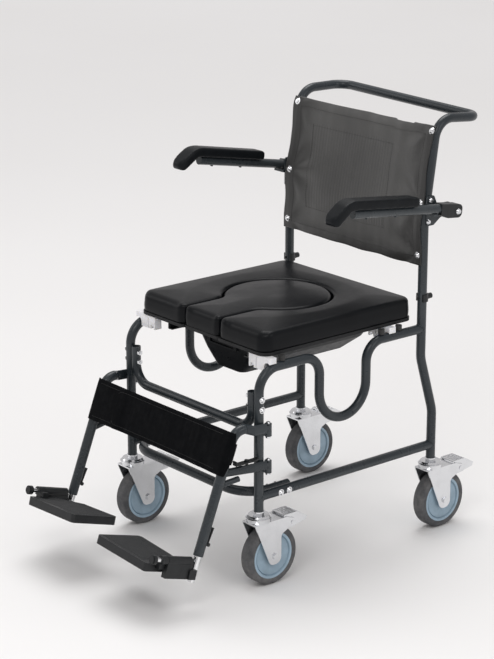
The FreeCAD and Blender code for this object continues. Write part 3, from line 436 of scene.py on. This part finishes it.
def cushion(name, plan, edge_radius, crown, body):
    """Closed crowned pad over a plan outline: bulging sides, a rounded top edge and a domed top."""
    loop = [(p.x, p.y) for p in plan]
    count = len(loop)
    ring = np.array(loop)
    tangent = np.roll(ring, -1, axis=0) - np.roll(ring, 1, axis=0)
    tangent /= np.linalg.norm(tangent, axis=1)[:, None]
    inward = np.stack([-tangent[:, 1], tangent[:, 0]], axis=1)
    area = sum(a[0] * b[1] - a[1] * b[0] for a, b in zip(loop, loop[1:] + loop[:1])) / 2
    if area < 0:
        inward = -inward
    radii = np.array([edge_radius(x, y) for x, y in loop])

    plan_points = [tuple(p) for p in ring]
    for angle in EDGE_ANGLES:
        reach = radii * (1 - math.cos(math.radians(angle)))
        candidates = ring + inward * reach[:, None]
        gaps, _ = edge_distance(candidates, loop)
        plan_points += [tuple(p) for p, g, r in zip(candidates, gaps, reach) if g > 0.93 * r]
    grid = [(x, y) for x in np.arange(-204, 205, SEAT_GRID) for y in np.arange(19, 436, SEAT_GRID)]
    gaps, nearest = edge_distance(grid, loop)
    plan_points += [p for p, g, n in zip(grid, gaps, nearest) if g > radii[n] + 2.5 and inside(p, loop)]

    flat, _, faces, *_ = geometry.delaunay_2d_cdt([Vector(p) for p in plan_points], [],
                                                  [list(range(count))], 1, 0.01)
    flat = [(p.x, p.y) for p in flat]
    gaps, nearest = edge_distance(flat, loop)
    top = []
    for (x, y), gap, n in zip(flat, gaps, nearest):
        radius = radii[n]
        short = max(0.0, radius - gap)
        z = RIDGE - radius + math.sqrt(max(0.0, radius * radius - short * short))
        swell = min(1.0, max(0.0, (gap - 0.5 * radius) / 75))
        z += crown * (1 - (1 - swell) ** 2)
        z += 0.5 * noise.noise(Vector((x / 45, y / 45, 3.1))) * swell
        top.append(at(x, y, z))

    vertices = list(top)
    rim = [min(range(len(flat)), key=lambda k, p=p: (flat[k][0] - p[0]) ** 2 + (flat[k][1] - p[1]) ** 2)
           for p in loop]
    wall = [rim]
    for level in WALL_LEVELS:
        row = []
        for (x, y), n, radius in zip(loop, inward, radii):
            high = RIDGE - radius
            bulge = 1.3 * math.sin(math.pi * min(1, level + 0.06)) - (1.6 if level == 0 else 0)
            row.append(len(vertices))
            z = CUSHION_LOW + level * (high - CUSHION_LOW)
            vertices.append(at(x - n[0] * bulge, y - n[1] * bulge, z))
        wall.append(row)
    faces = [tuple(f) for f in faces]
    for upper, lower in zip(wall, wall[1:]):
        for k in range(count):
            m = (k + 1) % count
            faces.append((upper[k], upper[m], lower[m], lower[k]))
    faces.append(tuple(wall[-1]))
    piece = new_piece(name, vertices, faces, "seat_vinyl", body)
    return piece


def seat_edge(x, y):
    """Edge radius of the seat pad: rolled over at the front of both wings, tighter round the hole."""
    front = 1 - ease(y, SEAT_FRONT + 2, SEAT_FRONT + 26)
    keyhole = 1 - ease(math.hypot(x, y - HOLE_Y), HOLE_R + 2, HOLE_R + 20)
    return 9.0 + 8.0 * front * ease(abs(x), NECK + 6, NECK + 40) - 1.0 * keyhole


def infill_edge(x, y):
    """Edge radius of the infill: its tongue is rolled over at the front."""
    return 8.0 + 6.0 * (1 - ease(y, SEAT_FRONT + 4, SEAT_FRONT + 30)) * (1 - ease(abs(x), 30, 52))


seat_pad = cushion("seat_pad", seat_plan(), seat_edge, 4.5, "seat")
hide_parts("seat_cushion")
infill_pad = cushion("infill_pad", infill_plan(), infill_edge, 5.0, "infill")
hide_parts("infill_cushion")


# ------------------------------------------------------------------ back sling
POST_Y, LEAN_Z, LEAN = 451, 705, math.radians(8.5)
SLING_LOW, SLING_HIGH, SLING_HALF = 606, 900, 221
SLING_OFFSET = 11.5
LOW_BEND, TOP_BEND = 140, 45
HANDLE_LOW, HANDLE_Z, HANDLE_Y = 915, 913, 607
SCREWS = ((209, 627), (209, 739), (211, 889))
FOLD_SHARE = 0.9
SLING_OUT = Vector((0, -1, 0.1)).normalized()


def post_face(z):
    """y in mm of the sling's middle face on the posts at a height."""
    low_r = LOW_BEND + SLING_OFFSET
    low_z = LEAN_Z - LOW_BEND * math.tan(LEAN / 2)
    high_r = TOP_BEND + SLING_OFFSET
    corner_y = POST_Y + math.tan(LEAN) * (HANDLE_LOW - LEAN_Z)
    turn = math.pi / 2 - LEAN - math.atan2(HANDLE_Z - HANDLE_LOW, HANDLE_Y - corner_y)
    reach = TOP_BEND * math.tan(turn / 2)
    centre_y = corner_y - reach * math.sin(LEAN) + TOP_BEND * math.cos(LEAN)
    centre_z = HANDLE_LOW - reach * math.cos(LEAN) - TOP_BEND * math.sin(LEAN)
    if z <= low_z:
        return POST_Y - SLING_OFFSET
    if z <= low_z + low_r * math.sin(LEAN):
        return POST_Y + LOW_BEND - math.sqrt(low_r ** 2 - (z - low_z) ** 2)
    if z <= centre_z + high_r * math.sin(LEAN):
        start = POST_Y + LOW_BEND - low_r * math.cos(LEAN)
        return start + (z - low_z - low_r * math.sin(LEAN)) * math.tan(LEAN)
    return centre_y - math.sqrt(high_r ** 2 - (z - centre_z) ** 2)


def sling_point(u, v):
    """Middle face of the stretched sheet: hollow between the posts, with pulled hems and folds."""
    side = 2 * u - 1
    half = SLING_HALF
    for low, high, pull in ((627, 739, 5), (739, 888, 6)):
        z = SLING_LOW + v * (SLING_HIGH - SLING_LOW)
        if low < z < high:
            half -= pull * math.sin(math.pi * (z - low) / (high - low)) ** 2
    x = side * half
    free = 1 - ease(abs(x), 178, 203)
    across = max(0.0, 1 - (x / 205) ** 2)
    top = SLING_HIGH - 4.5 * across - 2.5 * ease(x, 92, 98) * (1 - ease(x, 150, 156))
    low = SLING_LOW - 4.0 * across + 2.0 * free * noise.noise(Vector((x / 60, 0, 9)))
    z = low + v * (top - low)
    y = post_face(z)
    hollow = across ** 0.8 * (7 + 6 * v)
    folds = 3.0 * noise.noise(Vector((x / 62, z / 240, 1.7)))
    folds += 0.8 * noise.noise(Vector((x / 24, z / 170, 4.2)))
    for cx, cz in SCREWS:
        for sx in (-cx, cx):
            gap = math.hypot(x - sx, z - cz)
            angle = math.atan2(z - cz, abs(x - sx) + 0.01)
            folds += 2.2 * math.exp(-((gap - 52) / 38) ** 2) * math.sin(angle * 6.5 + cz)
    slant = (x - 60) + 0.55 * (z - 800)
    folds += 3.2 * math.exp(-(slant / 26) ** 2) * ease(v, 0.35, 0.95)
    folds -= 2.4 * math.exp(-((x - 118) / 14) ** 2) * ease(v, 0.05, 0.5)
    panel = ease(x, -158, -154) * (1 - ease(x, 96, 100)) * ease(z, 664, 668) * (1 - ease(z, 846, 850))
    ribs = 0.22 * panel * math.sin(x * math.tau / 8.4)
    return at(x, y + hollow + folds * free * FOLD_SHARE + ribs, z)


def sling_normal(u, v):
    step = 0.004
    a = sling_point(min(1, u + step), v) - sling_point(max(0, u - step), v)
    b = sling_point(u, min(1, v + step)) - sling_point(u, max(0, v - step))
    return a.cross(b).normalized()


def sling_thickness(u, v):
    """The hems are doubled."""
    x = abs(2 * u - 1) * SLING_HALF
    z = v * (SLING_HIGH - SLING_LOW)
    tall = SLING_HIGH - SLING_LOW
    hem = max(ease(x, 196, 197.5), 1 - ease(z, 19, 20.5), ease(z, tall - 20.5, tall - 19))
    return (1.2 + 0.9 * hem) * MM


sling = sheet_solid("sling", 120, 260, sling_point, sling_normal, sling_thickness,
                    "sling_vinyl", "backrest")
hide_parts("back_sling")


def sling_run(start, end, count):
    """Points on the front of the sling between two (u, v) places, and its way out."""
    points = []
    for k in range(count + 1):
        u = start[0] + (end[0] - start[0]) * k / count
        v = start[1] + (end[1] - start[1]) * k / count
        front = sling_normal(u, v)
        if front.y > 0:
            front = -front
        points.append(sling_point(u, v) + front * (sling_thickness(u, v) / 2 + 0.1 * MM))
    return points, SLING_OUT


edge_u, edge_v = 24 / 442, 18 / 294
panel_u, panel_v = (66 / 442, 320 / 442), (60 / 294, 241 / 294)
runs = [sling_run((edge_u, v), (1 - edge_u, v), 90) for v in (edge_v, 1 - edge_v)]
runs += [sling_run((u, edge_v), (u, 1 - edge_v), 60) for u in (edge_u, 1 - edge_u)]
runs += [sling_run((panel_u[0], v), (panel_u[1], v), 60) for v in panel_v]
runs += [sling_run((u, panel_v[0]), (u, panel_v[1]), 40) for u in panel_u]
sling_thread = stitches("sling_thread", runs, "backrest")


# ------------------------------------------------------------------ calf strap
TILT = math.radians(21.3)
STRAP_UP = Vector((0, math.sin(TILT), math.cos(TILT)))
STRAP_BACK = Vector((0, math.cos(TILT), -math.sin(TILT)))
STRAP_X, STRAP_TALL, STRAP_RING = 217.7, 90.2, 12.25
STRAP_MEET = -128
STRAP_LOOP = (25.8, 68.7)
TUCK, ARC_STEPS, STRAP_STEP = math.radians(315), 56, 4
STITCH_LIFT = 1.25


def strap_base(side):
    """Point of a hanger's axis at the strap's lower edge."""
    return at(side * STRAP_X, -86.2 - (300 - 266) * math.tan(TILT), 266)


def strap_course(side, reach):
    """Middle line of a band in mm, from its free end round one hanger, with its height share."""
    course = []
    steps = int(reach / STRAP_STEP)
    for k in range(steps + 1):
        course.append((-reach + k * reach / steps, -STRAP_RING, 1.0))
    for k in range(1, ARC_STEPS + 1):
        turn = math.radians(-90) + TUCK * k / ARC_STEPS
        full = 1 - ease(math.degrees(turn), -25, 12)
        course.append((STRAP_RING * math.cos(turn), STRAP_RING * math.sin(turn), full))
    return [(side * x, y, full) for x, y, full in course]


def make_strap(name, node, side, reach, overlap, body):
    """One band of the calf strap; the one that overlaps the other lies in front of it."""
    course = strap_course(side, reach)
    base = strap_base(side)
    count = len(course)

    def point(u, v):
        place = u * (count - 1)
        k = min(int(place), count - 2)
        t = place - k
        x, y, full = (course[k][i] * (1 - t) + course[k + 1][i] * t for i in range(3))
        low = STRAP_LOOP[0] * (1 - full)
        high = STRAP_TALL * full + STRAP_LOOP[1] * (1 - full)
        whole_x = side * STRAP_X + x
        free = full * (1 - ease(abs(whole_x), 172, 203))
        corner = 7 * (1 - ease(place * STRAP_STEP, 0, 8)) if overlap else 0
        h = low + corner + v * (high - low - 2 * corner)
        h += free * 2.4 * (0.5 - v) * (1 - (whole_x / 205) ** 2)
        bow = free * (3.5 * (1 - (whole_x / 205) ** 2)
                      + 1.5 * noise.noise(Vector((whole_x / 34, h / 46, 2.6)))
                      + 0.7 * noise.noise(Vector((whole_x / 11, h / 60, 7.4))))
        lift = 2.6 * (1 - ease(whole_x, STRAP_MEET - 2, STRAP_MEET + 14)) if overlap else 0
        return base + Vector((x * MM, 0, 0)) + STRAP_BACK * ((y + bow - lift) * MM) + STRAP_UP * (h * MM)

    def normal(u, v):
        step = 0.3 / count
        a = point(min(1, u + step), v) - point(max(0, u - step), v)
        b = point(u, min(1, v + 0.01)) - point(u, max(0, v - 0.01))
        return a.cross(b).normalized()

    def thickness(u, v):
        """Doubled and pressed along its two long edges."""
        hem = max(1 - ease(v, 0.07, 0.09), ease(v, 0.91, 0.93))
        return (2.2 - 0.5 * hem + 0.35 * math.sin(math.pi * v)) * MM

    band = sheet_solid(name, 36, 4 * count, point, normal, thickness, "strap_fabric", body)
    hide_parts(node)
    lines = []
    for v in (0.1, 0.9):
        flat_share = (count - ARC_STEPS - 2) / count
        points = [point(k / 120, v) - STRAP_BACK * STITCH_LIFT * MM
                  for k in range(int(120 * flat_share))]
        lines.append((points, -STRAP_BACK))
    thread = stitches(name + "_thread", lines, body)
    length = sum(math.dist(a[:2], b[:2]) for a, b in zip(course, course[1:]))
    return band


OVERLAP = 16
make_strap("calf_band", "calf_strap", 1, STRAP_X - STRAP_MEET + OVERLAP, True, "hanger_left")
make_strap("calf_band_end", "calf_strap_end", -1, STRAP_X + STRAP_MEET - 1, False, "hanger_right")


# ------------------------------------------------------------------ arm pads and footplates
def make_arm_pad(name):
    """Moulded foam pad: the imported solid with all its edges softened."""
    source = nodes["armrest_pad_" + name]
    pad = bpy.data.objects.new("arm_pad_" + name, source.data.copy())
    bpy.context.scene.collection.objects.link(pad)
    remesh = pad.modifiers.new("even", "REMESH")
    remesh.mode, remesh.voxel_size = "VOXEL", 0.0026
    soften = pad.modifiers.new("soft", "SMOOTH")
    soften.factor, soften.iterations = 0.6, 14
    pad.modifiers.new("fine", "SUBSURF").levels = 1
    apply_modifiers(pad)
    wear_material(pad, "pad_foam")
    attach(pad, "armrest_" + name)
    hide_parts(source.name)


TOE, ROLL = math.radians(16.9), math.radians(3)
PLATE_TOP, RIB_PITCH = -11.0, 4.0
RIB_PROFILE = ((-1.1, -0.2), (-0.7, 0.7), (0.0, 1.1), (0.7, 0.7), (1.1, -0.2))
LEFT_DROP = 14


def make_plate_ribs(name, side):
    """Fine non-slip ribs along the top of a footplate."""
    drop = LEFT_DROP if side > 0 else 0
    start = at(side * 219, -235 - drop * math.sin(TILT), 135.8 - drop * math.cos(TILT))
    forward = Vector((0, -math.cos(TOE), math.sin(TOE)))
    up = Vector((0, math.sin(TOE), math.cos(TOE)))
    across = up * side * math.sin(ROLL) - Vector((math.cos(ROLL), 0, 0))
    rise = across.cross(forward)

    def point(x, y, z):
        own = x if side < 0 else -x
        return start + (across * own + forward * y + rise * z) * MM

    vertices, faces = [], []
    y = -64.0
    while y < 35:
        outer = -17.0 if y > -21 else -17 - 48 * min(1, (-21 - y) / 44)
        inner = -171.0 - 0.02 * (35 - y)
        if y > 0:
            outer = -32.0
        base = len(vertices)
        for x, low in ((outer, 0.3), (outer - 1, 1), (inner + 1, 1), (inner, 0.3)):
            vertices += [point(x, y + dy, PLATE_TOP + min(dz, dz * low)) for dy, dz in RIB_PROFILE]
        faces += grid_faces(4, 5, base, closed=True)
        faces += [tuple(range(base + 4, base - 1, -1)), tuple(range(base + 15, base + 20))]
        y += RIB_PITCH
    new_piece("footplate_ribs_" + name, vertices, faces, "black_plastic", "footplate_" + name,
              smooth=False)


for name, side in SIDES:
    make_arm_pad(name)
    make_plate_ribs(name, side)


# ------------------------------------------------------------------ brake pedals
def make_pedal(place):
    """Pressed steel brake pedal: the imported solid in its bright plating."""
    source = nodes["brake_pedal_" + place]
    pedal = bpy.data.objects.new("pedal_" + place, source.data.copy())
    bpy.context.scene.collection.objects.link(pedal)
    wear_material(pedal, "zinc")
    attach(pedal, "brake_" + place)
    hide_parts(source.name)


for place in ("front_left", "front_right", "rear_left", "rear_right"):
    make_pedal(place)


# ------------------------------------------------------------------ weld beads
RAIL_JOINTS = ((451, -1, 465), (488.5, -1, 195), (0, 1, 195))


def make_beads(name, side):
    """Beads where the rails of a side frame meet its legs."""
    vertices, faces = [], []
    tube, bead, turns, round_steps = 10.0, 1.5, 48, 8
    x = side * 215
    for leg_y, way, z in RAIL_JOINTS:
        base = len(vertices)
        for k in range(turns):
            angle = math.tau * k / turns
            dx, dz = tube * math.sin(angle), tube * math.cos(angle)
            reach = math.sqrt(max(0.0, tube * tube - dx * dx))
            centre = at(x + dx, leg_y + way * reach, z + dz)
            outward = Vector((math.sin(angle), 0.0, math.cos(angle)))
            along = Vector((0.0, way, 0.0))
            size = bead * (1 + 0.16 * math.sin(k * 2.6)) * MM
            for j in range(round_steps):
                turn = math.tau * j / round_steps
                vertices.append(centre + (outward * math.cos(turn) + along * math.sin(turn)) * size)
        faces += grid_faces(turns, round_steps, base, closed=True)
        last = base + (turns - 1) * round_steps
        faces += [(last + j, last + (j + 1) % round_steps, base + (j + 1) % round_steps, base + j)
                  for j in range(round_steps)]
    new_piece("weld_beads_" + name, vertices, faces, "frame_paint", "frame")


for name, side in SIDES:
    make_beads(name, side)


# ------------------------------------------------------------------ stage, light and camera
def make_stage():
    """Wide flat floor."""
    half, steps = 30, 24
    vertices = [(half * (2 * j / steps - 1), half * (2 * i / steps - 1), 0)
                for i in range(steps + 1) for j in range(steps + 1)]
    mesh = bpy.data.meshes.new("floor")
    mesh.from_pydata(vertices, [], grid_faces(steps + 1, steps + 1))
    floor = bpy.data.objects.new("floor", mesh)
    bpy.context.scene.collection.objects.link(floor)
    mesh.materials.append(make_floor_paper())


def add_light(name, place, target, size, power, colour=(1, 1, 1)):
    light = bpy.data.lights.new(name, "AREA")
    light.shape = "RECTANGLE"
    light.size, light.size_y = size
    light.energy = power
    light.color = colour
    lamp = bpy.data.objects.new(name, light)
    bpy.context.scene.collection.objects.link(lamp)
    lamp.location = place
    lamp.rotation_mode = "QUATERNION"
    lamp.rotation_quaternion = (Vector(target) - Vector(place)).to_track_quat("-Z", "Y")


def make_light():
    world = bpy.data.worlds.new("studio")
    bpy.context.scene.world = world
    world.use_nodes = True
    sky = world.node_tree.nodes["Background"]
    sky.inputs["Color"].default_value = (1.0, 0.975, 0.975, 1)
    sky.inputs["Strength"].default_value = 0.6
    ceiling = bpy.data.lights.new("ceiling", "SUN")
    ceiling.energy, ceiling.angle = 1.0, math.radians(45)
    lamp = bpy.data.objects.new("ceiling", ceiling)
    bpy.context.scene.collection.objects.link(lamp)
    lamp.rotation_euler = (math.radians(-14), math.radians(-16), 0)
    add_light("top softbox", (-0.8, 0.6, 3.4), (0, 0.1, 0.5), (1.6, 1.6), 14, (1, 0.99, 0.98))
    add_light("left softbox", (-2.9, -1.6, 2.2), (0, 0, 0.5), (0.9, 1.6), 7, (1, 0.99, 0.98))
    add_light("front softbox", (1.5, -1.9, 2.9), (1.3, -1.2, 0), (1.4, 1.4), 21, (1, 0.99, 0.98))
    add_light("right softbox", (3.0, 0.6, 1.9), (0, 0, 0.45), (0.5, 1.6), 9, (0.97, 0.98, 1))
    bpy.context.scene.view_settings.view_transform = "Standard"


FOCAL, FRAME_HEIGHT = 2099.7, 659


def make_camera():
    data = bpy.data.cameras.new("camera")
    data.sensor_width = 36
    data.lens = FOCAL * data.sensor_width / FRAME_HEIGHT
    camera = bpy.data.objects.new("camera", data)
    bpy.context.scene.collection.objects.link(camera)
    azimuth, elevation = math.radians(50.33), math.radians(17.12)
    camera.location = (3.2657, -2.7255, 1.7781)
    ahead = Vector((-math.sin(azimuth) * math.cos(elevation), math.cos(azimuth) * math.cos(elevation),
                    -math.sin(elevation)))
    camera.rotation_mode = "QUATERNION"
    camera.rotation_quaternion = ahead.to_track_quat("-Z", "Y")
    bpy.context.scene.camera = camera


make_stage()
make_light()
make_camera()

bpy.context.view_layer.update()
